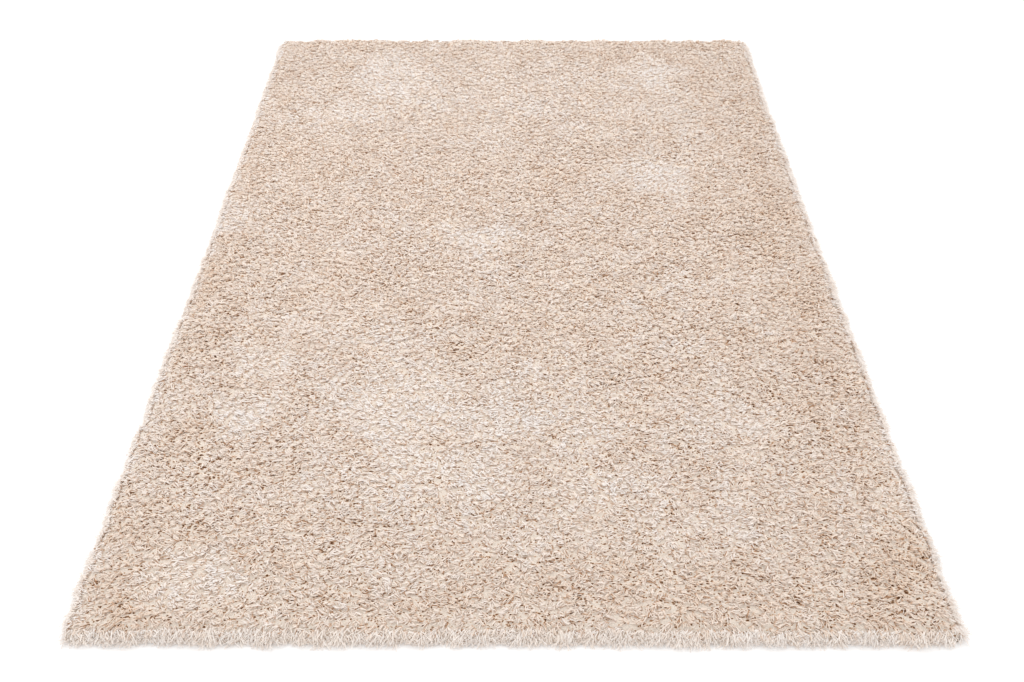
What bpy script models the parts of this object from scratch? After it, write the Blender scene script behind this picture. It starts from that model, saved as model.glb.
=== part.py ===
"""Shag rug, lying flat: one woven piece with a flat underside, a thick lumpy pile and locks leaning out at its rim.

Metres. The origin is the middle of the underside, where it lies on the floor; +X runs across the rug's
width, +Y along its length and +Z up.
"""

import random
from collections import namedtuple

import bmesh
import bpy
from mathutils import Vector, noise

# Driving dimensions
BACKING_WIDTH = 1.60
BACKING_LENGTH = 2.30
PILE_TOP = 0.036  # mean height of the pile's top above the floor
SHOULDER_TOP = 0.027  # where the top rounds over into the side
LOCK_PITCH = 0.0333  # from one clump of yarn to the next, over the top and along the rim
LOCK_REACH = 0.020  # of the longest lock, past the edge of the backing

# The top of the pile: a grid with a point for each clump of yarn
COLUMNS = round(BACKING_WIDTH / LOCK_PITCH)
ROWS = round(BACKING_LENGTH / LOCK_PITCH)
CLUMP_STRAY = 0.25 * LOCK_PITCH  # how far a clump lies from its place in the grid
CLUMP_RISE = 0.0045  # how far it stands above the pile's mean height, or sinks below it
SWELLS = ((0.31, 0.0030), (0.10, 0.0050))  # (length of a slow swell of the pile, its height)
SHOULDER_LEAN = 0.004  # how far the pile's shoulder leans out past the backing
SHOULDER_RISE = 0.0025  # unevenness of the shoulder's height
CORNER_CUT = 0.014  # the corners are rounded off by this much along each side

# Where the pile is brushed or trodden flatter, as ellipses: the pale patches of the photograph
Patch = namedtuple("Patch", "x y half_width half_length depth")
PATCHES = (
    Patch(x=-0.29, y=-0.57, half_width=0.15, half_length=0.17, depth=0.007),
    Patch(x=0.03, y=-0.62, half_width=0.16, half_length=0.07, depth=0.006),
    Patch(x=-0.09, y=-0.77, half_width=0.24, half_length=0.10, depth=0.005),
    Patch(x=-0.59, y=-0.61, half_width=0.07, half_length=0.09, depth=0.008),
    Patch(x=-0.58, y=-1.03, half_width=0.15, half_length=0.07, depth=0.006),
    Patch(x=-0.09, y=0.01, half_width=0.10, half_length=0.09, depth=0.007),
    Patch(x=0.41, y=0.32, half_width=0.11, half_length=0.09, depth=0.006),
    Patch(x=0.48, y=0.85, half_width=0.09, half_length=0.10, depth=0.006),
    Patch(x=-0.50, y=0.72, half_width=0.22, half_length=0.20, depth=0.006),
    Patch(x=0.46, y=-0.82, half_width=0.14, half_length=0.12, depth=0.004),
)

# A lock is two sections drawn out of a face of the side. out is a share of the lock's reach, width and height
# are shares of the face's own, and bottom is how high a lock that stands out level keeps its lower side.
Section = namedtuple("Section", "out width height bottom")
LOCK_SECTIONS = (
    Section(out=0.55, width=0.74, height=0.62, bottom=0.0045),
    Section(out=1.00, width=0.40, height=0.24, bottom=0.0080),
)
SHORTEST_LOCK = 0.60  # share of the longest one's reach
LOCK_SWAY = 0.006  # sideways, at the tip
LOCK_LIFT = (-0.8, 1.3)  # share of bottom; a lock that would hang below the floor rests level on it
FULL_EVERY = 6  # each sixth lock has the whole reach, so that every side of the rug is as wide as it should be


def pile_height(x, y):
    """Mean height of the pile's top at a place, from its swells and its flattened patches."""
    height = PILE_TOP
    for length, rise in SWELLS:
        height += rise * noise.noise(Vector((x / length, y / length, length)))
    for patch in PATCHES:
        off = ((x - patch.x) / patch.half_width) ** 2 + ((y - patch.y) / patch.half_length) ** 2
        height -= patch.depth * max(0.0, 1.0 - off)
    return height


def lay_top(bm):
    """The grid of the pile's top, flat as yet, as wide as the pile's shoulders and with its corners cut."""
    bmesh.ops.create_grid(bm, x_segments=COLUMNS, y_segments=ROWS, size=0.5)
    size = (BACKING_WIDTH + 2 * SHOULDER_LEAN, BACKING_LENGTH + 2 * SHOULDER_LEAN, 1.0)
    bmesh.ops.scale(bm, vec=size, verts=bm.verts)
    corners = [vert for vert in bm.verts if len(vert.link_faces) == 1]
    bmesh.ops.bevel(bm, geom=corners, offset=CORNER_CUT, segments=1, affect="VERTICES")


def raise_clumps(bm, chance):
    """Gives the top its lumps. Its rim is lower, and keeps its outline."""
    for vert in bm.verts:
        if vert.is_boundary:
            vert.co.z = SHOULDER_TOP + chance.uniform(-SHOULDER_RISE, SHOULDER_RISE)
        else:
            vert.co.x += chance.uniform(-CLUMP_STRAY, CLUMP_STRAY)
            vert.co.y += chance.uniform(-CLUMP_STRAY, CLUMP_STRAY)
            vert.co.z = pile_height(vert.co.x, vert.co.y) + chance.uniform(-CLUMP_RISE, CLUMP_RISE)


def close_underside(bm):
    """Draws the sides down to the edge of the backing and closes the underside. Returns the sides' faces."""
    rim = [edge for edge in bm.edges if edge.is_boundary]
    made = bmesh.ops.extrude_edge_only(bm, edges=rim)["geom"]
    foot = [part for part in made if isinstance(part, bmesh.types.BMVert)]
    to_backing = (
        BACKING_WIDTH / (BACKING_WIDTH + 2 * SHOULDER_LEAN),
        BACKING_LENGTH / (BACKING_LENGTH + 2 * SHOULDER_LEAN),
        0.0,
    )
    bmesh.ops.scale(bm, vec=to_backing, verts=foot)
    bmesh.ops.contextual_create(bm, geom=[edge for edge in bm.edges if edge.is_boundary])
    bmesh.ops.recalc_face_normals(bm, faces=bm.faces)
    return [part for part in made if isinstance(part, bmesh.types.BMFace)]


def draw_lock(bm, side, reach, sway, lift):
    """One lock on a face of the side, drawn out through LOCK_SECTIONS."""
    foot = [vert.co.copy() for vert in side.verts if vert.co.z == 0.0]
    root = (foot[0] + foot[1]) / 2
    out = Vector((side.normal.x, side.normal.y, 0.0)).normalized()
    along = Vector((-out.y, out.x, 0.0))
    widths = [(vert.co - root).dot(along) for vert in side.verts]
    heights = [vert.co.z for vert in side.verts]
    face = side
    for section in LOCK_SECTIONS:
        face = bmesh.ops.extrude_discrete_faces(bm, faces=[face])["faces"][0]
        middle = root + out * reach * section.out + along * sway * section.out
        middle.z = max(0.0, section.bottom * lift)
        for vert, width, height in zip(face.verts, widths, heights):
            vert.co = middle + along * width * section.width
            vert.co.z += height * section.height


def draw_locks(bm, sides, chance):
    """A lock on every face of the side, uneven in length, sideways lean and droop."""
    for index, side in enumerate(sides):
        share = 1.0 if index % FULL_EVERY == 0 else chance.uniform(SHORTEST_LOCK, 1.0)
        sway = chance.uniform(-LOCK_SWAY, LOCK_SWAY)
        draw_lock(bm, side, LOCK_REACH * share, sway, lift=chance.uniform(*LOCK_LIFT))


def yarn_material():
    """Matt beige pile yarn."""
    material = bpy.data.materials.new("pile_yarn")
    material.use_nodes = True
    shader = material.node_tree.nodes["Principled BSDF"]
    shader.inputs["Base Color"].default_value = (0.73, 0.61, 0.51, 1.0)
    shader.inputs["Roughness"].default_value = 0.95
    shader.inputs["Metallic"].default_value = 0.0
    return material


def build_rug():
    """The whole rug as one closed solid."""
    chance = random.Random(16)
    bm = bmesh.new()
    lay_top(bm)
    raise_clumps(bm, chance)
    sides = close_underside(bm)
    draw_locks(bm, sides, chance)
    mesh = bpy.data.meshes.new("shag_rug")
    bm.to_mesh(mesh)
    bm.free()
    mesh.shade_smooth()
    mesh.materials.append(yarn_material())
    rug = bpy.data.objects.new("shag_rug", mesh)
    bpy.context.scene.collection.objects.link(rug)


for leftover in list(bpy.data.objects):
    bpy.data.objects.remove(leftover)
build_rug()
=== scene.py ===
import math

import bpy
import numpy as np
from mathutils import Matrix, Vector


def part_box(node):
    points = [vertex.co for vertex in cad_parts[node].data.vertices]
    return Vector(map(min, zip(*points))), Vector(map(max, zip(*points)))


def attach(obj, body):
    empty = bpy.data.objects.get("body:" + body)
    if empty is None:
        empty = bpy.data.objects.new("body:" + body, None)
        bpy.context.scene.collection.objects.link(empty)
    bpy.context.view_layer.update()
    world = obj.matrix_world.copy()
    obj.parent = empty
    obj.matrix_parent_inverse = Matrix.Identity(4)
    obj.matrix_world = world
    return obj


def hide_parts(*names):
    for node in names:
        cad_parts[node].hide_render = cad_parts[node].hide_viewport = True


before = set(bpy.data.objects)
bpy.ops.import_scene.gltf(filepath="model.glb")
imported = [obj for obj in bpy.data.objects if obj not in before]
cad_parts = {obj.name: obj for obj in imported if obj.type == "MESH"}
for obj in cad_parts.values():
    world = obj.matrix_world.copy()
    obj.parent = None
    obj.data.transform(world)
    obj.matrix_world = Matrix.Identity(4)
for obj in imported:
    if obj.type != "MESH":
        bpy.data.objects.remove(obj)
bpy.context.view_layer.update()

# All sizes are in metres, and the rug's near end lies towards -Y. The locks reach past the backing on every
# side, so the backing is the CAD rug less that reach.
rug = {
    "seed": 7, "reach": 0.020,
    "waist": 0.005,                            # each long side is drawn in by this half way along
    "ragged": 0.0065, "raggedBand": 0.04,      # how uneven the rim is, and how far in that begins
    "raggedUp": 0.5, "fineLumps": 0.7,         # the share of that in height, and of finer lumps in it
    "sidesApart": 3,                           # so that opposite sides are uneven each in their own way
    "farLift": 0.006,                          # how much higher the locks stand at the far end
}
lowCorner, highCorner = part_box("shag_rug")
halfWidth = (highCorner.x - lowCorner.x) / 2 - rug["reach"]
halfLength = (highCorner.y - lowCorner.y) / 2 - rug["reach"]
dice = np.random.default_rng(rug["seed"])

# trodden or brushed places, where the yarn lies flatter and closer, and is painted paler as painted light on
# the flat-lying pile
brushedPatches = [
    {"at": (-0.04, 0.79), "half": (0.70, 0.28), "much": 0.35},
    {"at": (-0.39, 0.89), "half": (0.18, 0.20), "much": 0.8},
    {"at": (-0.52, 0.68), "half": (0.16, 0.14), "much": 0.7},
    {"at": (0.47, 0.87), "half": (0.09, 0.11), "much": 0.9},
    {"at": (0.39, 0.31), "half": (0.12, 0.11), "much": 0.9},
    {"at": (-0.10, 0.01), "half": (0.09, 0.07), "much": 0.9},
    {"at": (-0.74, 0.11), "half": (0.07, 0.09), "much": 0.7},
    {"at": (-0.26, -0.59), "half": (0.14, 0.18), "much": 1.0},
    {"at": (-0.58, -0.62), "half": (0.07, 0.09), "much": 1.0},
    {"at": (-0.57, -0.46), "half": (0.05, 0.05), "much": 0.6},
    {"at": (-0.02, -0.63), "half": (0.20, 0.08), "much": 0.8},
    {"at": (-0.14, -0.79), "half": (0.22, 0.08), "much": 0.7},
    {"at": (0.20, -0.84), "half": (0.14, 0.10), "much": 0.45},
    {"at": (-0.47, -0.30), "half": (0.15, 0.09), "much": 0.4},
    {"at": (0.51, -0.65), "half": (0.11, 0.08), "much": 0.45},
    {"at": (-0.59, -1.04), "half": (0.12, 0.07), "much": 1.0},
    {"at": (-0.75, -0.59), "half": (0.04, 0.04), "much": 0.6},
    {"at": (0.02, -0.57), "half": (0.10, 0.08), "much": 0.8},
    {"at": (-0.27, -0.38), "half": (0.10, 0.08), "much": 0.45},
    {"at": (0.40, -0.40), "half": (0.07, 0.05), "much": 0.45},
    {"at": (0.38, -0.17), "half": (0.06, 0.06), "much": 0.45},
    {"at": (0.40, -0.92), "half": (0.07, 0.05), "much": 0.6},
    {"at": (-0.52, 0.51), "half": (0.14, 0.05), "much": 0.45},
    {"at": (-0.38, -0.82), "half": (0.06, 0.05), "much": 0.45},
    {"at": (-0.40, -0.51), "half": (0.06, 0.04), "much": 0.45},
    {"at": (0.17, -0.69), "half": (0.09, 0.04), "much": 0.45},
    {"at": (-0.12, 1.01), "half": (0.18, 0.05), "much": 0.45},
]

# places where the tufts stand further apart, with more painted shade: darker yarn and more dark flecks on
# the bed
openPatches = [
    {"at": (-0.10, -0.42), "half": (0.12, 0.04), "much": 0.6},
    {"at": (-0.39, -0.13), "half": (0.08, 0.05), "much": 0.5},
    {"at": (-0.62, -0.10), "half": (0.06, 0.05), "much": 0.4},
    {"at": (-0.72, -0.37), "half": (0.06, 0.14), "much": 0.6},
    {"at": (-0.72, -0.75), "half": (0.06, 0.08), "much": 0.6},
    {"at": (-0.73, -0.92), "half": (0.09, 0.04), "much": 0.7},
    {"at": (-0.76, -1.06), "half": (0.04, 0.09), "much": 0.9},
    {"at": (-0.44, -1.01), "half": (0.04, 0.05), "much": 0.5},
    {"at": (-0.15, -1.08), "half": (0.20, 0.04), "much": 0.2},
    {"at": (0.24, -1.07), "half": (0.24, 0.04), "much": 0.6},
    {"at": (0.70, -1.05), "half": (0.10, 0.12), "much": 0.9},
    {"at": (0.57, -0.98), "half": (0.12, 0.10), "much": 0.6},
    {"at": (0.73, -0.42), "half": (0.10, 0.40), "much": 0.7},
    {"at": (0.70, 0.16), "half": (0.09, 0.40), "much": 0.6},
    {"at": (0.66, -0.06), "half": (0.16, 0.06), "much": 0.5},
    {"at": (0.39, -0.74), "half": (0.13, 0.04), "much": 0.3},
    {"at": (-0.76, -0.15), "half": (0.06, 0.20), "much": 0.8},
    {"at": (-0.66, -1.07), "half": (0.12, 0.06), "much": 0.8},
    {"at": (0.52, 0.13), "half": (0.06, 0.20), "much": 0.6},
    {"at": (0.33, 0.36), "half": (0.12, 0.05), "much": 0.4},
    {"at": (-0.76, 0.22), "half": (0.05, 0.15), "much": 0.5},
    {"at": (0.76, 0.65), "half": (0.06, 0.35), "much": 0.5},
    {"at": (0.42, 0.72), "half": (0.08, 0.06), "much": 0.4},
    {"at": (0.76, -1.02), "half": (0.07, 0.14), "much": 1.0},
    {"at": (0.45, -1.10), "half": (0.28, 0.04), "much": 0.7},
    {"at": (-0.70, -1.11), "half": (0.12, 0.06), "much": 1.0},
    {"at": (0.48, -0.02), "half": (0.08, 0.06), "much": 0.4},
    {"at": (-0.55, -0.22), "half": (0.08, 0.06), "much": 0.4},
]

# a patch is full at its middle and fades towards its edge, which wanders and is ragged
patchEdge = {"wander": 0.035, "ragged": 0.35, "raggedFine": 0.25, "full": 1.6, "fade": 1.3}

# soft noises: the size of their cells, and their seed
noises = {
    "swell": (0.09, 1), "lump": (0.03, 2), "crumb": (0.011, 9),    # levels of the pile and of the bed
    "wanderX": (0.09, 3), "wanderY": (0.09, 4), "ragged": (0.06, 5), "raggedFine": (0.025, 6),
    "part": (0.17, 11), "partFine": (0.06, 12), "lean": (0.05, 13), "leanFine": (0.022, 14),
    "tone": (0.05, 21), "warmth": (0.12, 62),                      # colour of the pile
    "hollow": (0.022, 41), "gaps": (0.12, 42),                     # how deep and open its gaps are
    "rimAside": (0.012, 31), "rimClumps": (0.010, 33), "rimWarmth": (0.02, 61),
    "sides": (0.035, 51), "sidesFine": (0.014, 52), "ends": (0.035, 53), "endsFine": (0.014, 54),
    "locks": (0.035, 55), "locksFine": (0.014, 56),
}
noiseGrid = {"size": 64, "startX": 31.7, "startY": 17.3}


def softNoise(name, x, y):
    cell, seed = noises[name]
    size = noiseGrid["size"]
    table = np.random.default_rng(seed).uniform(-1, 1, (size, size))
    u, v = x / cell + noiseGrid["startX"], y / cell + noiseGrid["startY"]
    i, j = np.floor(u).astype(int), np.floor(v).astype(int)
    u, v = u - i, v - j
    u, v = u * u * (3 - 2 * u), v * v * (3 - 2 * v)
    nextI, nextJ = (i + 1) % size, (j + 1) % size
    i, j = i % size, j % size
    near = table[i, j] * (1 - u) + table[nextI, j] * u
    far = table[i, nextJ] * (1 - u) + table[nextI, nextJ] * u
    return near * (1 - v) + far * v


def lumps(name, x, y):
    return softNoise(name, x, y) + rug["fineLumps"] * softNoise(name + "Fine", x, y)


def between(limits, size):
    return dice.uniform(*limits, size)


def patchStrength(x, y, patches):
    moveX = patchEdge["wander"] * softNoise("wanderX", x, y)
    moveY = patchEdge["wander"] * softNoise("wanderY", x, y)
    x, y = x + moveX, y + moveY
    ragged = 1 + patchEdge["ragged"] * softNoise("ragged", x, y)
    ragged = ragged + patchEdge["raggedFine"] * softNoise("raggedFine", x, y)
    strength = np.zeros_like(x)
    for patch in patches:
        away = np.hypot((x - patch["at"][0]) / patch["half"][0], (y - patch["at"][1]) / patch["half"][1])
        share = np.clip(patchEdge["full"] - patchEdge["fade"] * away * ragged, 0, 1)
        strength = np.maximum(strength, patch["much"] * share)
    return strength


def insideEdge(x, y):
    return np.minimum(halfWidth - abs(x), halfLength - abs(y))


# the skin is the level that the crowns of the tufts make
pile = {
    "height": 0.031, "swell": 0.0028, "lump": 0.0018, "trodden": 0.004, "edgeDrop": 0.002, "edgeRun": 0.015,
}


def skinLevel(x, y):
    level = pile["height"] + pile["swell"] * softNoise("swell", x, y)
    level = level + pile["lump"] * softNoise("lump", x, y)
    level = level - pile["trodden"] * patchStrength(x, y, brushedPatches)
    nearness = 1 - np.clip(insideEdge(x, y) / pile["edgeRun"], 0, 1)
    return level - pile["edgeDrop"] * nearness ** 2


def readPoints(mesh):
    points = np.empty(len(mesh.vertices) * 3)
    mesh.vertices.foreach_get("co", points)
    return points.reshape(-1, 3)


def writePoints(mesh, points):
    mesh.vertices.foreach_set("co", points.ravel())
    mesh.update()


def settle(piece):
    points = readPoints(piece.data)
    x, y, z = points.T.copy()
    # locks stand out further here and there along the rim, and higher at the far end
    nearX = np.clip(1 - (halfWidth - abs(x)) / rug["raggedBand"], 0, 1)
    nearY = np.clip(1 - (halfLength - abs(y)) / rug["raggedBand"], 0, 1)
    up = np.clip(z / pile["height"], 0, 1)
    signX, signY = np.sign(x), np.sign(y)
    points[:, 0] += signX * nearX * up * rug["ragged"] * lumps("sides", rug["sidesApart"] * signX, y)
    points[:, 1] += signY * nearY * up * rug["ragged"] * lumps("ends", x, rug["sidesApart"] * signY)
    points[:, 2] += up * rug["raggedUp"] * rug["ragged"] * np.maximum(nearX, nearY) * lumps("locks", x, y)
    points[:, 2] += up * rug["farLift"] * nearY * (y > 0)
    # the long sides lie a little nearer each other half way along, as in the photograph
    points[:, 0] *= 1 - rug["waist"] / halfWidth * (1 - np.clip(y / halfLength, -1, 1) ** 2)
    writePoints(piece.data, points)


def deselectAll():
    bpy.ops.object.select_all(action="DESELECT")


def addNode(tree, kind, inputs=None, **settings):
    made = tree.nodes.new(kind)
    for name, value in settings.items():
        setattr(made, name, value)
    for name, value in (inputs or {}).items():
        if isinstance(value, bpy.types.NodeSocket):
            tree.links.new(value, made.inputs[name])
        else:
            made.inputs[name].default_value = value
    return made


def calc(tree, operation, first, second=0.0):
    return addNode(tree, "ShaderNodeMath", {0: first, 1: second}, operation=operation).outputs[0]


def calcPlace(tree, operation, first, second):
    return addNode(tree, "ShaderNodeVectorMath", {0: first, 1: second}, operation=operation).outputs[0]


def greyOf(tree, value):
    channels = {name: value for name in ("Red", "Green", "Blue")}
    return addNode(tree, "ShaderNodeCombineColor", channels).outputs[0]


def ramp(tree, factor, stops):
    made = addNode(tree, "ShaderNodeValToRGB", {"Fac": factor})
    elements = made.color_ramp.elements
    while len(elements) < len(stops):
        elements.new(0.5)
    for element, (position, colour) in zip(elements, stops):
        element.position = position
        element.color = (*colour, 1)
    return made.outputs["Color"]


def multiply(tree, first, second):
    inputs = {"Factor": 1, "A": first, "B": second}
    return addNode(tree, "ShaderNodeMix", inputs, data_type="RGBA", blend_type="MULTIPLY").outputs["Result"]


fibreNoise = {"detail": 2.0, "distortion": 1.5, "low": 0.35, "high": 0.62}


def makeFuzzGroup():
    # short fibres: a noise that gives a grey to multiply a colour with, and a height
    group = bpy.data.node_groups.new("yarnFuzz", "ShaderNodeTree")
    group.interface.new_socket("Vector", in_out="INPUT", socket_type="NodeSocketVector")
    for name in ("Scale", "Dark", "Light"):
        group.interface.new_socket(name, in_out="INPUT", socket_type="NodeSocketFloat")
    group.interface.new_socket("Shade", in_out="OUTPUT", socket_type="NodeSocketColor")
    group.interface.new_socket("Height", in_out="OUTPUT", socket_type="NodeSocketFloat")
    entry = addNode(group, "NodeGroupInput").outputs
    noise = addNode(group, "ShaderNodeTexNoise", {
        "Vector": entry["Vector"], "Scale": entry["Scale"],
        "Detail": fibreNoise["detail"], "Distortion": fibreNoise["distortion"],
    })
    spread = addNode(group, "ShaderNodeMapRange", {
        "Value": noise.outputs["Fac"], "From Min": fibreNoise["low"], "From Max": fibreNoise["high"],
        "To Min": entry["Dark"], "To Max": entry["Light"],
    })
    shade = greyOf(group, spread.outputs[0])
    addNode(group, "NodeGroupOutput", {"Shade": shade, "Height": noise.outputs["Fac"]})
    return group


def addFibres(tree, fuzz, place, fibres):
    return addNode(tree, "ShaderNodeGroup", {"Vector": place, **fibres}, node_tree=fuzz).outputs


def newMaterial(name, finish):
    made = bpy.data.materials.new(name)
    made.use_nodes = True
    shader = made.node_tree.nodes["Principled BSDF"]
    shader.inputs["Roughness"].default_value = finish["roughness"]
    shader.inputs["Specular IOR Level"].default_value = finish["specular"]
    return made, made.node_tree, shader


def finishMaterial(tree, shader, colour, height, finish):
    strength, depth = finish["bump"]
    bump = addNode(tree, "ShaderNodeBump", {"Height": height, "Strength": strength, "Distance": depth})
    tree.links.new(colour, shader.inputs["Base Color"])
    tree.links.new(bump.outputs[0], shader.inputs["Normal"])


# Every yarn's map lies in one cell of a chart, tones from left to right and warmths from bottom to top.
# Across a cell the map goes round the yarn, and up it the map runs from root to tip.
chart = {"map": "OFBake", "tones": 64, "warmths": 8, "marginRound": 0.1, "marginAlong": 0.05, "most": 0.999}

yarnFinish = {
    # sunkShade is the painted shade that sunken yarns take, at the bottom of the tone scale
    "sunkShade": (0.453, 0.263, 0.153), "middle": (0.783, 0.65, 0.544), "light": (0.868, 0.814, 0.772),
    # root is painted shade: each yarn turns darker and redder towards its root, deep in the pile
    "root": (0.527, 0.307, 0.175), "rootShadeEnd": 0.38,
    "cool": (0.99, 1.0, 1.015), "warm": (1.01, 0.985, 0.95),
    "plies": 2, "plyTurns": 3.0, "plyShade": 0.03,
    "fibresAcross": 4.0, "fibresAlong": 3.0, "fibres": {"Scale": 1.0, "Dark": 0.95, "Light": 1.02},
    "roughness": 0.92, "specular": 0.15, "bump": (0.1, 0.001),
}


def makeYarnMaterial(fuzz):
    made, tree, shader = newMaterial("pileYarn", yarnFinish)
    spot = addNode(tree, "ShaderNodeUVMap", uv_map=chart["map"]).outputs[0]
    split = addNode(tree, "ShaderNodeSeparateXYZ", {"Vector": spot})
    across = calc(tree, "MULTIPLY", split.outputs["X"], chart["tones"])
    up = calc(tree, "MULTIPLY", split.outputs["Y"], chart["warmths"])
    tone = calc(tree, "DIVIDE", calc(tree, "FLOOR", across), chart["tones"] - 1)
    warmth = calc(tree, "DIVIDE", calc(tree, "FLOOR", up), chart["warmths"] - 1)
    around = calc(tree, "FRACT", across)
    along = calc(tree, "FRACT", up)
    # painted shade: a little darker and redder towards each yarn's root, deep in the pile
    body = ramp(tree, tone, [(0, yarnFinish["sunkShade"]), (0.5, yarnFinish["middle"]), (1, yarnFinish["light"])])
    rise = ramp(tree, along, [(0, (0, 0, 0)), (yarnFinish["rootShadeEnd"], (1, 1, 1))])
    rootShaded = {"Factor": rise, "A": (*yarnFinish["root"], 1), "B": body}
    colour = addNode(tree, "ShaderNodeMix", rootShaded, data_type="RGBA").outputs["Result"]
    # two plies twisted together, with painted shade in the grooves between them and a bump
    turns = calc(tree, "ADD", calc(tree, "MULTIPLY", around, yarnFinish["plies"]),
                 calc(tree, "MULTIPLY", along, yarnFinish["plyTurns"]))
    ply = calc(tree, "SINE", calc(tree, "MULTIPLY", turns, 2 * math.pi))
    plyGrey = greyOf(tree, calc(tree, "ADD", calc(tree, "MULTIPLY", ply, yarnFinish["plyShade"]), 1.0))
    place = addNode(tree, "ShaderNodeCombineXYZ", {
        "X": calc(tree, "MULTIPLY", across, yarnFinish["fibresAcross"]),
        "Y": calc(tree, "MULTIPLY", up, yarnFinish["fibresAlong"]),
    })
    fibres = addFibres(tree, fuzz, place.outputs[0], yarnFinish["fibres"])
    tint = ramp(tree, warmth, [(0, yarnFinish["cool"]), (1, yarnFinish["warm"])])
    colour = multiply(tree, colour, multiply(tree, fibres["Shade"], plyGrey))
    colour = multiply(tree, colour, tint)
    finishMaterial(tree, shader, colour, ply, yarnFinish)
    return made


# a closed body under the tufts, from which their roots show, with a slope down to the floor at the rim
bed = {
    "columns": 104, "rows": 150,
    "depth": 0.0058, "crumb": 0.0014,          # how far it lies under the skin, and how uneven it is
    "base": 0.0015, "edgeLevel": 0.005,        # levels of its underside and of its outermost edge
    "overhang": 0.016,                         # how far it reaches past the backing
    "slope": 0.011, "shoulder": 0.5,           # how wide its slope is, and how full
    "tuck": (0.995, 0.9965), "corner": 0.7,    # how its underside and its corners are drawn in
    # painted shade: deep and ground are the dark and mid browns painted as the shade in the gaps between
    # tufts; pale is the colour of the tufts' roots
    "deep": (0.13, 0.057, 0.026), "ground": (0.605, 0.366, 0.21), "pale": (0.835, 0.733, 0.636),
    "paintedShadeTo": 0.26, "halfShadeAt": 0.34, "paleFrom": 0.46, "closing": 0.16,
    "tuftScale": 170.0, "stretch": (0.72, 1.15, 1.0), "swayScale": 90.0, "swayDetail": 2.0, "sway": 0.012,
    "fibres": {"Scale": 520.0, "Dark": 0.70, "Light": 1.0},
    "roughness": 0.95, "specular": 0.15, "bump": (0.6, 0.0015),
    # how much painted shade shows as dark flecks in the gaps between the tufts, where 1 is about usual and 0
    # hides them
    "openness": "openness",
    "gaps": {
        "usual": 1.06, "brushed": 0.85, "open": 0.30, "fine": 0.45, "wide": 0.25,
        "nearEnd": 0.4, "farEnd": 0.2, "rimFrom": 0.006, "rimRun": 0.012,
    },
}


def bedLevel(x, y):
    return skinLevel(x, y) - bed["depth"] + bed["crumb"] * softNoise("crumb", x, y)


def howOpen(x, y):
    gaps = bed["gaps"]
    opened = gaps["usual"] - gaps["brushed"] * patchStrength(x, y, brushedPatches)
    opened = opened + gaps["open"] * patchStrength(x, y, openPatches)
    opened = opened + gaps["fine"] * softNoise("hollow", x, y) + gaps["wide"] * softNoise("gaps", x, y)
    opened = opened - np.where(y < 0, gaps["nearEnd"], gaps["farEnd"]) * (y / halfLength) ** 2
    return opened * np.clip((insideEdge(x, y) + gaps["rimFrom"]) / gaps["rimRun"], 0, 1)


def makeBedMaterial(fuzz):
    made, tree, shader = newMaterial("pileBed", bed)
    place = addNode(tree, "ShaderNodeTexCoord").outputs["Object"]
    # pale roots of the tufts, and between them dark flecks of painted shade for the deep gaps, which are
    # smaller where the pile is brushed
    sway = addNode(tree, "ShaderNodeTexNoise", {
        "Vector": place, "Scale": bed["swayScale"], "Detail": bed["swayDetail"],
    })
    swayed = calcPlace(tree, "MULTIPLY", sway.outputs["Color"], (bed["sway"],) * 3)
    drawn = calcPlace(tree, "MULTIPLY", place, bed["stretch"])
    moved = calcPlace(tree, "ADD", drawn, swayed)
    shadeFlecks = addNode(tree, "ShaderNodeTexVoronoi", {"Vector": moved, "Scale": bed["tuftScale"]},
                     feature="F1")
    openness = addNode(tree, "ShaderNodeAttribute", attribute_name=bed["openness"])
    opened = calc(tree, "MULTIPLY", openness.outputs["Fac"], bed["closing"])
    fromGap = calc(tree, "SUBTRACT", shadeFlecks.outputs["Distance"], opened)
    fromGap = calc(tree, "ADD", fromGap, bed["closing"])
    ground = ramp(tree, fromGap, [(bed[stop], bed[colour]) for stop, colour in (
        ("paintedShadeTo", "deep"), ("halfShadeAt", "ground"), ("paleFrom", "pale"))])
    fibres = addFibres(tree, fuzz, drawn, bed["fibres"])
    finishMaterial(tree, shader, multiply(tree, ground, fibres["Shade"]), fibres["Height"], bed)
    return made


# the flat map: a plan of the upper side in its left half, and of the rest in its right half
plan = {"width": 0.48, "height": 0.98, "margin": 0.01, "right": 0.5, "upper": 0.2}


def flatMap(piece):
    mesh = piece.data
    points = np.array([mesh.vertices[loop.vertex_index].co[:2] for loop in mesh.loops])
    share = (points - points.min(0)) / (points.max(0) - points.min(0))
    share = share * [plan["width"], plan["height"]] + plan["margin"]
    upper = np.zeros(len(mesh.loops), bool)
    for face in mesh.polygons:
        upper[face.loop_start:face.loop_start + face.loop_total] = face.normal.z > plan["upper"]
    share[~upper, 0] += plan["right"]
    layer = mesh.uv_layers.active or mesh.uv_layers.new(name=chart["map"])
    layer.name = chart["map"]
    layer.data.foreach_set("uv", share.astype(np.float32).ravel())


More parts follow.
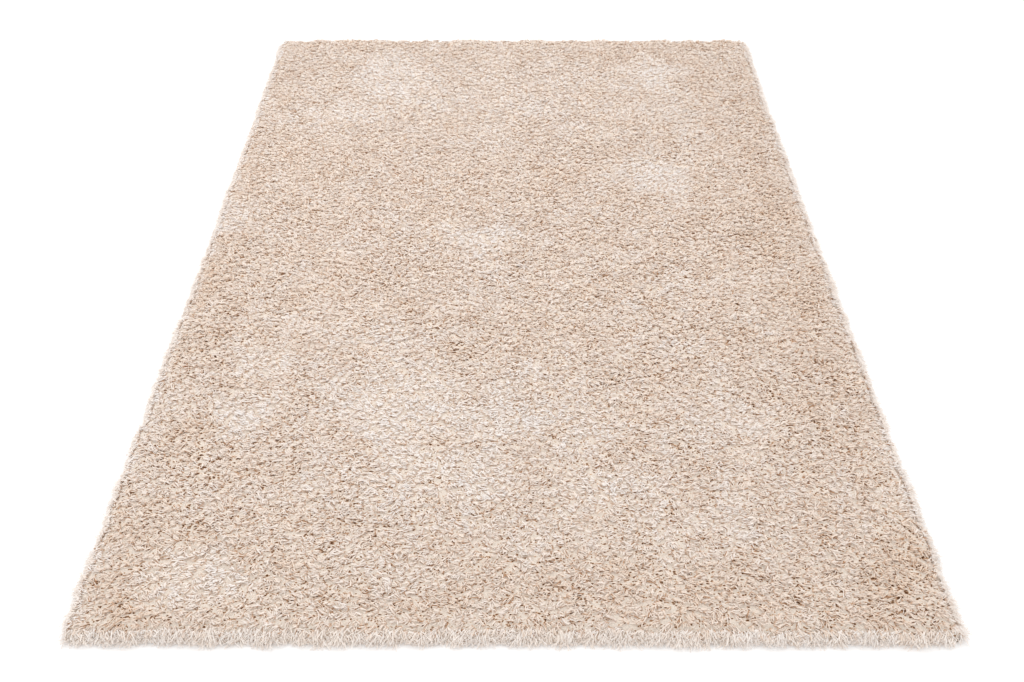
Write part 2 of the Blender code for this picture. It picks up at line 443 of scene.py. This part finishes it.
def buildBed(material):
    deselectAll()
    bpy.ops.mesh.primitive_grid_add(x_subdivisions=bed["columns"], y_subdivisions=bed["rows"], size=2,
                                    location=(0, 0, bed["edgeLevel"]))
    piece = bpy.context.object
    piece.name = "pile_bed"
    reach = bed["overhang"]
    bpy.ops.object.mode_set(mode="EDIT")
    bpy.ops.transform.resize(value=(halfWidth + reach, halfLength + reach, 1), center_override=(0, 0, 0))
    # walls down into the backing, and a face that closes them below
    bpy.ops.mesh.select_mode(type="VERT")
    bpy.ops.mesh.select_all(action="DESELECT")
    bpy.ops.mesh.select_non_manifold()
    down = bed["base"] - bed["edgeLevel"]
    bpy.ops.mesh.extrude_region_move(TRANSFORM_OT_translate={"value": (0, 0, down)})
    bpy.ops.transform.resize(value=(*bed["tuck"], 1), center_override=(0, 0, 0))
    bpy.ops.mesh.edge_face_add()
    bpy.ops.mesh.select_all(action="SELECT")
    bpy.ops.mesh.normals_make_consistent(inside=False)
    bpy.ops.object.mode_set(mode="OBJECT")
    bpy.ops.object.transform_apply(location=True, rotation=True, scale=True)
    # the top follows the pile, a little under its skin
    mesh = piece.data
    points = readPoints(mesh)
    top = points[:, 2] > (bed["base"] + bed["edgeLevel"]) / 2
    x, y = points[top, 0], points[top, 1]
    rise = np.clip((insideEdge(x, y) + reach) / bed["slope"], 0, 1) ** bed["shoulder"]
    points[top, 2] = bed["edgeLevel"] + (bedLevel(x, y) - bed["edgeLevel"]) * rise
    # rounded corners
    pastX, pastY = abs(points[:, 0]) - halfWidth, abs(points[:, 1]) - halfLength
    corner = (pastX > 0) & (pastY > 0)
    pull = bed["corner"] * (np.maximum(pastX, pastY)[corner] / np.hypot(pastX, pastY)[corner] - 1)
    points[corner, 0] += np.sign(points[corner, 0]) * pastX[corner] * pull
    points[corner, 1] += np.sign(points[corner, 1]) * pastY[corner] * pull
    writePoints(mesh, points)
    layer = mesh.attributes.new(bed["openness"], "FLOAT", "POINT")
    layer.data.foreach_set("value", howOpen(points[:, 0], points[:, 1]).astype(np.float32))
    bpy.ops.object.shade_smooth()
    mesh.materials.append(material)
    flatMap(piece)
    return piece


def selectOnly(piece, kind, wanted):
    # leaves the piece in edit mode with just the faces or vertices selected that are wanted
    bpy.ops.object.mode_set(mode="EDIT")
    bpy.ops.mesh.select_mode(type=kind)
    bpy.ops.mesh.select_all(action="DESELECT")
    bpy.ops.object.mode_set(mode="OBJECT")
    for item in piece.data.polygons if kind == "FACE" else piece.data.vertices:
        item.select = wanted(item)
    bpy.ops.object.mode_set(mode="EDIT")


# Two yarns are modelled once, one unit long and one unit in radius, from the root at 0 to the tip at 1.
# Their copies are squashed flat, and a straight one starts part of the way up, to lie beside the bent ones.
yarnShape = {"tipWidth": 0.8, "knee": 0.5, "endWidth": 0.9, "flat": 0.4, "straightFrom": 0.3}


def modelStraightYarn():
    # two corners of a square lifted to the tip and drawn together, and a skin closed round all four
    deselectAll()
    bpy.ops.mesh.primitive_plane_add(size=math.sqrt(2), location=(0, 0, 0), rotation=(0, 0, math.pi / 4))
    bpy.ops.object.transform_apply(location=True, rotation=True, scale=True)
    yarn = bpy.context.object
    selectOnly(yarn, "VERT", lambda vertex: abs(vertex.co.x) < 0.1)
    bpy.ops.transform.resize(value=(1, yarnShape["tipWidth"], 1), center_override=(0, 0, 0))
    bpy.ops.transform.translate(value=(0, 0, 1))
    bpy.ops.mesh.select_all(action="SELECT")
    bpy.ops.mesh.convex_hull(use_existing_faces=False, join_triangles=False)
    bpy.ops.mesh.normals_make_consistent(inside=False)
    bpy.ops.object.mode_set(mode="OBJECT")
    return yarn


def modelBentYarn():
    # a three-sided point up to the knee, and a three-sided stem from there
    knee, endWidth = yarnShape["knee"], yarnShape["endWidth"]
    deselectAll()
    bpy.ops.mesh.primitive_cone_add(vertices=3, radius1=1, radius2=0, depth=knee, location=(0, 0, knee / 2),
                                    rotation=(math.pi, 0, 0))
    bpy.ops.object.transform_apply(location=True, rotation=True, scale=True)
    yarn = bpy.context.object
    selectOnly(yarn, "FACE", lambda face: face.normal.z > 0.9)
    bpy.ops.mesh.extrude_region_move(TRANSFORM_OT_translate={"value": (0, 0, 1 - knee)})
    bpy.ops.transform.resize(value=(endWidth, endWidth, 1), center_override=(0, 0, 1))
    bpy.ops.object.mode_set(mode="OBJECT")
    # two corners of the end drawn together, so that the yarn ends in a flat tuft
    selectOnly(yarn, "VERT", lambda vertex: vertex.co.z > 0.9 and vertex.co.x < 0.1)
    bpy.ops.mesh.merge(type="CENTER")
    bpy.ops.mesh.select_all(action="SELECT")
    bpy.ops.mesh.normals_make_consistent(inside=False)
    bpy.ops.object.mode_set(mode="OBJECT")
    return yarn


def readYarn(yarn):
    # corner by corner: how far round the yarn and how far along it, for its map
    mesh = yarn.data
    points = np.array([vertex.co[:] for vertex in mesh.vertices])
    faces, spots = [], []
    for face in mesh.polygons:
        corners = list(face.vertices)
        centre = points[corners].mean(0)
        middle = math.atan2(centre[1], centre[0]) % (2 * math.pi)
        for px, py, pz in points[corners]:
            off = (math.atan2(py, px) - middle + math.pi) % (2 * math.pi) - math.pi
            off = 0 if math.hypot(px, py) < 0.01 else off    # a point on the axis has no side of its own
            spots.append(((middle + off) / (2 * math.pi), pz))
        faces.append(corners)
    bpy.data.objects.remove(yarn)
    return {"points": points, "faces": faces, "spots": np.clip(np.array(spots), 0, 1)}


def bendYarns(shape, yarns):
    # copies the shape once for each yarn, along the curve from root by mid to tip
    root, mid, tip = (yarns[name][:, None] for name in ("root", "mid", "tip"))
    t = shape["points"][:, 2][None, :, None]
    line = (1 - t) ** 2 * root + 2 * t * (1 - t) * mid + t ** 2 * tip
    ahead = (1 - t) * (mid - root) + t * (tip - mid)
    ahead = ahead / np.linalg.norm(ahead, axis=2, keepdims=True)
    level = np.cross((tip - root) * [1, 1, 0], [0, 0, 1.0])
    side = level - ahead * (level * ahead).sum(2, keepdims=True)
    side = side / np.linalg.norm(side, axis=2, keepdims=True)
    over = np.cross(side, ahead)
    cos, sin = np.cos(yarns["turn"])[:, None], np.sin(yarns["turn"])[:, None]
    px, py = shape["points"][:, 0], shape["points"][:, 1]
    thick = yarns["radius"][:, None]
    across = (px * cos - py * sin) * thick
    above = (px * sin + py * cos) * thick * yarnShape["flat"]
    points = (line + side * across[..., None] + over * above[..., None]).reshape(-1, 3)
    count, size = len(yarns["root"]), len(shape["points"])
    corners = np.concatenate([np.array(face) for face in shape["faces"]])
    corners = (corners[None, :] + (np.arange(count) * size)[:, None]).ravel()
    sides = np.tile([len(face) for face in shape["faces"]], count)
    around = chart["marginRound"] + (1 - 2 * chart["marginRound"]) * shape["spots"][None, :, 0]
    along = yarns["start"][:, None] + (1 - yarns["start"][:, None]) * shape["spots"][None, :, 1]
    along = chart["marginAlong"] + (1 - 2 * chart["marginAlong"]) * along
    u = (yarns["tone"][:, None] + around) / chart["tones"]
    v = (yarns["warmth"][:, None] + along) / chart["warmths"]
    return {"points": points, "corners": corners, "sides": sides, "map": np.stack([u, v], -1).reshape(-1, 2)}


def joinYarns(name, parts, material):
    shift = np.cumsum([0] + [len(part["points"]) for part in parts])
    points = np.concatenate([part["points"] for part in parts]).astype(np.float32)
    corners = np.concatenate([part["corners"] + start for part, start in zip(parts, shift)]).astype(np.int32)
    sides = np.concatenate([part["sides"] for part in parts])
    spots = np.concatenate([part["map"] for part in parts]).astype(np.float32)
    mesh = bpy.data.meshes.new(name)
    mesh.vertices.add(len(points))
    mesh.vertices.foreach_set("co", points.ravel())
    mesh.loops.add(len(corners))
    mesh.loops.foreach_set("vertex_index", corners)
    mesh.polygons.add(len(sides))
    mesh.polygons.foreach_set("loop_start", np.concatenate([[0], np.cumsum(sides)[:-1]]).astype(np.int32))
    mesh.update(calc_edges=True)
    mesh.uv_layers.new(name=chart["map"]).data.foreach_set("uv", spots.ravel())
    mesh.polygons.foreach_set("use_smooth", np.zeros(len(sides), bool))
    mesh.materials.append(material)
    piece = bpy.data.objects.new(name, mesh)
    bpy.context.scene.collection.objects.link(piece)
    print(name, int((sides - 2).sum()), "triangles")
    return piece


def finishYarns(root, mid, tip, radius, tone, warmth, start=0.0):
    # start: how far up the yarn's colouring its lower end is
    count = len(root)
    return {
        "root": root, "mid": mid, "tip": tip, "radius": radius,
        "turn": dice.uniform(0, 2 * math.pi, count),
        "tone": np.floor(np.clip(tone, 0, chart["most"]) * chart["tones"]),
        "warmth": np.floor(np.clip(warmth, 0, chart["most"]) * chart["warmths"]),
        "start": np.full(count, start),
    }


def pick(yarns, chosen):
    return {name: values[chosen] for name, values in yarns.items()}


def startHigher(yarns, share):
    root, mid, tip = yarns["root"], yarns["mid"], yarns["tip"]
    start = (1 - share) ** 2 * root + 2 * share * (1 - share) * mid + share ** 2 * tip
    return dict(yarns, root=start, mid=(start + tip) / 2)


def layYarns(name, straight, bent, yarns, isBent, material):
    bentOnes = pick(yarns, isBent)
    straightOnes = startHigher(pick(yarns, ~isBent), yarnShape["straightFrom"])
    return joinYarns(name, [bendYarns(bent, bentOnes), bendYarns(straight, straightOnes)], material)


# each tuft is a fan of yarns that rise together and lie over the next tuft
tufts = {
    "count": 32500, "yarns": 5, "strips": 5,
    "past": 0.006,                                    # how far past the backing the outermost stand
    "bundle": 0.0022, "fan": 0.0045, "back": 0.004,   # half widths at root and tip, and the root's set-back
    "fanVaries": (0.8, 1.15), "fanBrushed": 0.15, "fanOpen": 0.25,
    "run": (0.0115, 0.0178), "runVaries": (0.85, 1.1), "runAside": 0.2,    # how far a yarn reaches
    "midRun": 0.3, "midFan": 0.6, "curl": 0.0020,     # where the middle of a yarn is
    "deep": 0.009, "crown": 0.0010, "drop": 0.0007,   # levels of root and crown, and of a fan's outer yarns
    "midLift": 0.0014, "midVaries": 0.0006, "tipLift": -0.0008, "tipVaries": 0.0009,
    "rise": 0.0006, "riseBrushed": 0.5, "riseOpen": 0.6,                      # how uneven the tufts are
    "sink": 0.0010, "sinkMost": 0.0035, "sinkHollow": 0.5, "sinkOpen": 0.1,   # and how far yarns sink
    "wildness": 0.58, "yarnWildness": 0.30, "brushedCalm": 0.6, "uneven": 0.12,
    "stray": 0.12, "strayTurn": 0.8, "strayMid": 0.004, "strayTip": 0.003,
    "rimDrop": 0.003, "rimRun": 0.012, "hang": 0.3, "midHang": 0.5, "lowest": 0.003,
    "radius": (0.00108, 0.00142), "radiusBrushed": 0.1,
    # The yarn leans to the left on the left half and to the right on the right half, a little forward, and
    # outwards at the rim. The angles are degrees towards the near end.
    "lie": {
        "parting": 3, "side": 1.1, "wide": 0.9, "fine": 0.4, "waver": 0.35,
        "forward": 6, "nearForward": 22, "rightShare": 1.3, "leftShare": 0.7,
        "outPull": 1.1, "outRun": 0.006,
    },
    # where the yarns are on the chart of tones and warmths, both from 0 to 1
    "tone": {
        "usual": 0.79, "varies": 0.035, "yarnVaries": 0.02, "patchy": 0.10, "brushed": 0.26, "open": 0.16,
        "rim": 0.09, "rimRun": 0.03, "past": 0.2, "pastRun": 0.005,
        "shadeFrom": 0.0019, "shadeRun": 0.0007, "shadeBrushed": 0.5,    # yarns sunk out of the light
    },
    "warmth": {
        "usual": 0.5, "varies": 0.2, "yarnVaries": 0.1, "patchy": 0.2, "brushed": 0.3, "open": 0.15,
        "rim": 0.25, "rimRun": 0.04, "past": 0.25, "hollow": 0.5,
    },
}


def leanDirection(x, y):
    lie = tufts["lie"]
    middle = lie["side"] * x + lie["wide"] * softNoise("part", x, y)
    middle = middle + lie["fine"] * softNoise("partFine", x, y)
    goesRight = dice.uniform(-1, 1, len(x)) < np.tanh(lie["parting"] * middle)
    nearness = np.clip(0.5 - y / halfLength / 2, 0, 1)
    bySide = np.where(goesRight, lie["rightShare"], lie["leftShare"])
    forward = np.radians(lie["forward"] + lie["nearForward"] * nearness ** 2 * bySide)
    lean = np.where(goesRight, -forward, forward - np.pi)
    return lean + lie["waver"] * softNoise("lean", x, y) + lie["waver"] * softNoise("leanFine", x, y)


def turnOutwards(lean, x, y):
    pull, run = tufts["lie"]["outPull"], tufts["lie"]["outRun"]
    outX = np.sign(x) * np.exp(-(halfWidth - abs(x)) / run)
    outY = np.sign(y) * np.exp(-(halfLength - abs(y)) / run)
    return np.arctan2(np.sin(lean) + pull * outY, np.cos(lean) + pull * outX)


def scatter(count):
    # a square grid with every point moved about inside its cell
    widest, farthest = halfWidth + tufts["past"], halfLength + tufts["past"]
    pitch = math.sqrt(4 * widest * farthest / count)
    columns, rows = round(2 * widest / pitch), round(2 * farthest / pitch)
    gridX, gridY = np.meshgrid((np.arange(columns) + 0.5) / columns, (np.arange(rows) + 0.5) / rows)
    x = (gridX.ravel() * 2 - 1) * widest + dice.uniform(-0.5, 0.5, columns * rows) * pitch
    y = (gridY.ravel() * 2 - 1) * farthest + dice.uniform(-0.5, 0.5, columns * rows) * pitch
    return np.clip(x, -widest, widest), np.clip(y, -farthest, farthest)


def combTufts():
    x, y = scatter(tufts["count"])
    count, each = len(x), tufts["yarns"]
    total, fans = count * each, (count, each)
    tones, warmths = tufts["tone"], tufts["warmth"]
    inEdge = insideEdge(x, y).clip(0)
    brushed = patchStrength(x, y, brushedPatches)
    gaping = patchStrength(x, y, openPatches)
    calm = 1 - tufts["brushedCalm"] * brushed
    lean = turnOutwards(leanDirection(x, y) + dice.normal(0, tufts["wildness"], count) * calm, x, y)
    rise = dice.normal(0, tufts["rise"], count) * (1 - tufts["riseBrushed"] * brushed)
    rise = rise * (1 + tufts["riseOpen"] * gaping)
    fan = tufts["fan"] * (1 + tufts["fanBrushed"] * brushed - tufts["fanOpen"] * gaping)
    fan = fan * between(tufts["fanVaries"], count)
    run = between(tufts["run"], count)
    # tone: random, with painted light where the pile is brushed, and painted shade in open patches and near
    # the rim
    tone = tones["usual"] + dice.normal(0, tones["varies"], count)
    tone = tone + tones["brushed"] * brushed - tones["open"] * gaping
    tone = tone + tones["patchy"] * softNoise("tone", x, y)
    tone = tone - tones["rim"] * np.exp(-inEdge / tones["rimRun"])
    # the yarns of a fan, from one side of it to the other
    uneven = between((-tufts["uneven"], tufts["uneven"]), fans)
    across = ((np.arange(each) + 0.5) / each * 2 - 1)[None, :] + uneven
    stray = dice.uniform(0, 1, fans) < tufts["stray"]
    turn = lean[:, None] + dice.normal(0, tufts["yarnWildness"], fans)
    turn = turn + stray * dice.normal(0, tufts["strayTurn"], fans)
    curl = dice.normal(0, tufts["curl"], fans)
    hollow = 1 + tufts["sinkHollow"] * softNoise("hollow", x, y) + tufts["sinkOpen"] * gaping
    sink = np.minimum(dice.exponential(tufts["sink"], fans) * hollow[:, None], tufts["sinkMost"])
    # their roots, middles and tips in plan
    ahead = np.stack([np.cos(turn), np.sin(turn)], -1)
    aside = np.stack([-np.sin(lean), np.cos(lean)], -1)[:, None]
    spot = np.stack([x, y], -1)[:, None]
    length = run[:, None] * (1 - tufts["runAside"] * across ** 2) * between(tufts["runVaries"], fans)
    root = spot - ahead * tufts["back"] + aside * (across * tufts["bundle"])[..., None]
    mid = spot + ahead * (tufts["midRun"] * length)[..., None]
    mid = mid + aside * (across * tufts["midFan"] * fan[:, None] + curl)[..., None]
    tip = spot + ahead * length[..., None] + aside * (across * fan[:, None])[..., None]
    # and how high
    level = skinLevel(x, y)[:, None] + rise[:, None] - sink
    crown = tufts["crown"] - tufts["drop"] * across ** 2 * calm[:, None]
    rootZ = level - tufts["deep"]
    midZ = level + crown + tufts["midLift"] + dice.normal(0, tufts["midVaries"], fans)
    midZ = midZ + stray * dice.uniform(0, tufts["strayMid"], fans)
    tipZ = level + crown + dice.normal(tufts["tipLift"], tufts["tipVaries"], fans)
    tipZ = tipZ + stray * dice.normal(0, tufts["strayTip"], fans)
    # near the rim they lie out, and past it they hang down
    inTip, inMid = (insideEdge(place[..., 0], place[..., 1]) for place in (tip, mid))
    tipZ = tipZ - tufts["rimDrop"] * np.exp(-inTip.clip(0) / tufts["rimRun"])
    tipZ = np.maximum(tipZ - tufts["hang"] * (-inTip).clip(0), tufts["lowest"])
    midZ = midZ - tufts["midHang"] * tufts["hang"] * (-inMid).clip(0)
    stack = [np.concatenate([flat, height[..., None]], -1).reshape(-1, 3)
             for flat, height in ((root, rootZ), (mid, midZ), (tip, tipZ))]
    # painted shade and light: sunken yarns are painted darker, and those that hang past the long sides are
    # painted paler
    past = np.clip(1 - (halfWidth - abs(tip[..., 0])) / tones["pastRun"], 0, 1)
    inShade = np.clip((sink - tones["shadeFrom"]) / tones["shadeRun"], 0, 1)
    tone = tone[:, None] - inShade * (1 - tones["shadeBrushed"] * brushed)[:, None]
    tone = (tone + tones["past"] * past).ravel() + dice.normal(0, tones["yarnVaries"], total)
    # warmth: random, with painted shade and light: warmer in hollows and open patches, cooler where brushed,
    # near the rim and past the long sides
    warmth = warmths["usual"] - warmths["brushed"] * brushed + warmths["open"] * gaping
    warmth = warmth + dice.normal(0, warmths["varies"], count)
    warmth = warmth - warmths["rim"] * np.exp(-inEdge / warmths["rimRun"])
    warmth = warmth + warmths["hollow"] * softNoise("hollow", x, y)
    warmth = warmth + warmths["patchy"] * softNoise("warmth", x, y)
    warmth = np.repeat(warmth, each) + dice.normal(0, warmths["yarnVaries"], total)
    warmth = warmth - warmths["past"] * past.ravel()
    radius = between(tufts["radius"], total) * (1 + tufts["radiusBrushed"] * np.repeat(brushed, each))
    isBent = np.tile(np.arange(each) == each // 2, count)    # the middle yarn of each fan
    return finishYarns(*stack, radius, tone, warmth), isBent


def buildPile(straight, bent, material):
    yarns, isBent = combTufts()
    strips = tufts["strips"]
    place = (yarns["tip"][:, 1] / halfLength + 1) / 2 * strips
    place = np.clip(np.floor(place), 0, strips - 1)
    pieces = []
    for strip in range(strips):
        here = place == strip
        name = f"pile_strip_{strip + 1}"
        pieces.append(layYarns(name, straight, bent, pick(yarns, here), isBent[here], material))
    return pieces


# yarns that thatch the bed's slope all round, from the pile's shoulder down to the floor
rim = {
    "count": 27000,
    "height": (0.002, 0.027), "sunk": 0.0035,                       # where their roots are
    "first": (0.005, 0.008), "lift": 0.0015,                        # how far out and up their middles are
    "out": (0.005, 0.016), "outBias": 2, "fall": (0.002, 0.010),    # how far out and down their tips are
    "floor": 0.0016,                                                # the lowest that any of them lies
    "aside": 0.009, "midAside": 0.4, "bend": 0.3, "clump": 0.6, "fan": 0.7, "fanRun": 0.02,
    # the upper ones reach as far out as the lower ones, and cover the step under the pile's shoulder
    "cover": 0.4, "endCover": 0.3, "midCover": 0.4,
    "radius": (0.0009, 0.0012), "start": 0.38,
    # painted light: the rim's yarns are painted paler than the pile
    "tone": 0.96, "toneVaries": 0.04, "warmth": 0.55, "warmthVaries": 0.15, "warmthPatchy": 0.3,
}


def buildRim(straight, bent, material):
    count = rim["count"]
    way = (np.arange(count) + dice.uniform(-0.5, 0.5, count)) / count * 4 * (halfWidth + halfLength)
    ends = np.cumsum([2 * halfWidth, 2 * halfLength, 2 * halfWidth])
    side = np.digitize(way, ends)    # 0 front, 1 right, 2 back, 3 left
    lengthwise = side % 2 == 1
    halfSide = np.where(lengthwise, halfLength, halfWidth)
    along = way - np.concatenate([[0], ends])[side] - halfSide
    height = between(rim["height"], count)
    # how far out the bed's slope is at that height
    upSlope = (height - bed["edgeLevel"]) / (pile["height"] - bed["depth"] - bed["edgeLevel"])
    past = bed["overhang"] - bed["slope"] * np.clip(upSlope, 0, 1) ** 2 - rim["sunk"]
    x = np.select([side == 1, side == 3], [halfWidth, -halfWidth], along)
    y = np.select([side == 0, side == 2], [-halfLength, halfLength], along)
    facing = np.select([side == 0, side == 1, side == 2], [-np.pi / 2, 0.0, np.pi / 2], np.pi)
    # they fan round the corners
    spare = halfSide - abs(along)
    turned = np.sign(along) * np.clip(1 - spare / rim["fanRun"], 0, 1) * rim["fan"]
    facing = facing + turned * np.where(side < 2, 1, -1)
    aside = dice.normal(0, rim["aside"], count) + rim["aside"] * softNoise("rimAside", x, y)
    bend = dice.normal(0, rim["bend"] * rim["aside"], count)
    ahead = np.stack([np.cos(facing), np.sin(facing)], -1)
    across = np.stack([-np.sin(facing), np.cos(facing)], -1)

    def stand(away, beside, level):
        flat = np.stack([x, y], -1) + ahead * away[:, None] + across * beside[:, None]
        return np.concatenate([flat, np.maximum(level, rim["floor"])[:, None]], -1)

    root = stand(past, 0 * past, height)
    cover = np.where(lengthwise, rim["cover"], rim["endCover"] * rim["cover"]) * (past.max() - past)
    first = past + between(rim["first"], count) + rim["midCover"] * cover
    mid = stand(first, rim["midAside"] * aside + bend, height + rim["lift"])
    nearest, furthest = rim["out"]
    out = nearest + (furthest - nearest) * dice.uniform(0, 1, count) ** rim["outBias"] + cover
    clumps = 1 + rim["clump"] * softNoise("rimClumps", x, y)
    tip = stand(past + out * clumps, aside, height - between(rim["fall"], count))
    tone = rim["tone"] + dice.normal(0, rim["toneVaries"], count)
    warmth = rim["warmth"] + dice.normal(0, rim["warmthVaries"], count)
    warmth = warmth + rim["warmthPatchy"] * softNoise("rimWarmth", x, y)
    yarns = finishYarns(root, mid, tip, between(rim["radius"], count), tone, warmth, rim["start"])
    return layYarns("pile_rim", straight, bent, yarns, np.arange(count) % 2 == 0, material)


backing = {
    "thick": 0.0028, "corner": 0.012, "cornerSteps": 5, "pitch": 0.0032,
    "yarn": (0.62, 0.50, 0.36), "yarnFrom": 0.6, "gapShade": (0.34, 0.25, 0.16), "gapShadeTo": 0.15,
    "fibres": {"Scale": 700.0, "Dark": 0.8, "Light": 1.0},
    "roughness": 0.9, "specular": 0.15, "bump": (0.6, 0.0008),
}


def makeBackingMaterial(fuzz):
    # plain weave: warp and weft that take turns on top, painted darker in the low gaps between them as
    # painted shade
    made, tree, shader = newMaterial("wovenBacking", backing)
    place = addNode(tree, "ShaderNodeTexCoord").outputs["Object"]
    split = addNode(tree, "ShaderNodeSeparateXYZ", {"Vector": place})
    perYarn = math.pi / backing["pitch"]
    warp, weft = (calc(tree, "MULTIPLY", split.outputs[axis], perYarn) for axis in ("X", "Y"))
    warpBump = calc(tree, "ABSOLUTE", calc(tree, "SINE", warp))
    weftBump = calc(tree, "ABSOLUTE", calc(tree, "SINE", weft))
    over = calc(tree, "MULTIPLY", calc(tree, "COSINE", warp), calc(tree, "COSINE", weft))
    warpOnTop = calc(tree, "GREATER_THAN", over, 0.0)
    height = calc(tree, "ADD", calc(tree, "MULTIPLY", warpBump, warpOnTop),
                  calc(tree, "MULTIPLY", weftBump, calc(tree, "SUBTRACT", 1.0, warpOnTop)))
    weave = ramp(tree, height, [(backing["gapShadeTo"], backing["gapShade"]), (backing["yarnFrom"], backing["yarn"])])
    fibres = addFibres(tree, fuzz, place, backing["fibres"])
    finishMaterial(tree, shader, multiply(tree, weave, fibres["Shade"]), height, backing)
    return made


def buildBacking(material):
    deselectAll()
    bpy.ops.mesh.primitive_plane_add(size=2, location=(0, 0, 0))
    piece = bpy.context.object
    piece.name = "backing"
    bpy.ops.object.mode_set(mode="EDIT")
    bpy.ops.transform.resize(value=(halfWidth, halfLength, 1), center_override=(0, 0, 0))
    bpy.ops.mesh.bevel(offset=backing["corner"], segments=backing["cornerSteps"], affect="VERTICES")
    bpy.ops.mesh.select_all(action="SELECT")
    bpy.ops.mesh.extrude_region_move(TRANSFORM_OT_translate={"value": (0, 0, backing["thick"])})
    bpy.ops.mesh.select_all(action="SELECT")
    bpy.ops.mesh.normals_make_consistent(inside=False)
    bpy.ops.object.mode_set(mode="OBJECT")
    piece.data.materials.append(material)
    flatMap(piece)
    return piece


light = {"world": 1.06, "key": 28, "keySize": 2.5, "keyAt": (-0.35, 0.5, 2.4), "bounces": 16}

paleFloor = {"size": 30, "level": -0.0005, "shade": 0.98, "roughness": 0.9}

# the angles are degrees: tilt is how far the camera looks down
camera = {"at": (-0.001, -2.093, 1.614), "tilt": 43.02, "turn": 0.06, "lens": 34.53, "sensor": 36}


def buildFloor():
    deselectAll()
    bpy.ops.mesh.primitive_plane_add(size=paleFloor["size"], location=(0, 0, paleFloor["level"]))
    floor = bpy.context.object
    floor.name = "floor"
    material = bpy.data.materials.new("paleFloor")
    material.use_nodes = True
    shader = material.node_tree.nodes["Principled BSDF"]
    shader.inputs["Base Color"].default_value = (paleFloor["shade"],) * 3 + (1,)
    shader.inputs["Roughness"].default_value = paleFloor["roughness"]
    floor.data.materials.append(material)


def buildStudio():
    buildFloor()
    world = bpy.data.worlds.new("softRoom")
    world.use_nodes = True
    background = world.node_tree.nodes["Background"]
    background.inputs["Color"].default_value = (1, 1, 1, 1)
    background.inputs["Strength"].default_value = light["world"]
    scene = bpy.context.scene
    scene.world = world
    aim = (-Vector(light["keyAt"])).to_track_quat("-Z", "Y").to_euler()
    bpy.ops.object.light_add(type="AREA", location=light["keyAt"], rotation=aim)
    key = bpy.context.object
    key.data.energy = light["key"]
    key.data.size = light["keySize"]
    tilt = (math.radians(90 - camera["tilt"]), 0, math.radians(camera["turn"]))
    bpy.ops.object.camera_add(location=camera["at"], rotation=tilt)
    scene.camera = bpy.context.object
    scene.camera.data.lens = camera["lens"]
    scene.camera.data.sensor_width = camera["sensor"]
    scene.view_settings.view_transform = "Standard"
    # pale yarn passes light on many times, which is what makes its hollows warm and not grey
    scene.cycles.max_bounces = light["bounces"]
    scene.cycles.diffuse_bounces = light["bounces"]


def buildRug():
    fuzz = makeFuzzGroup()
    yarnMaterial = makeYarnMaterial(fuzz)
    straight, bent = readYarn(modelStraightYarn()), readYarn(modelBentYarn())
    print("yarns modelled")
    pieces = [buildBed(makeBedMaterial(fuzz))]
    print("bed done")
    pieces += buildPile(straight, bent, yarnMaterial)
    pieces.append(buildRim(straight, bent, yarnMaterial))
    print("pile done")
    base = buildBacking(makeBackingMaterial(fuzz))
    print("backing done")
    for piece in pieces + [base]:
        settle(piece)
        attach(piece, "root")
        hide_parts("shag_rug")


buildRug()
buildStudio()
print("studio done")
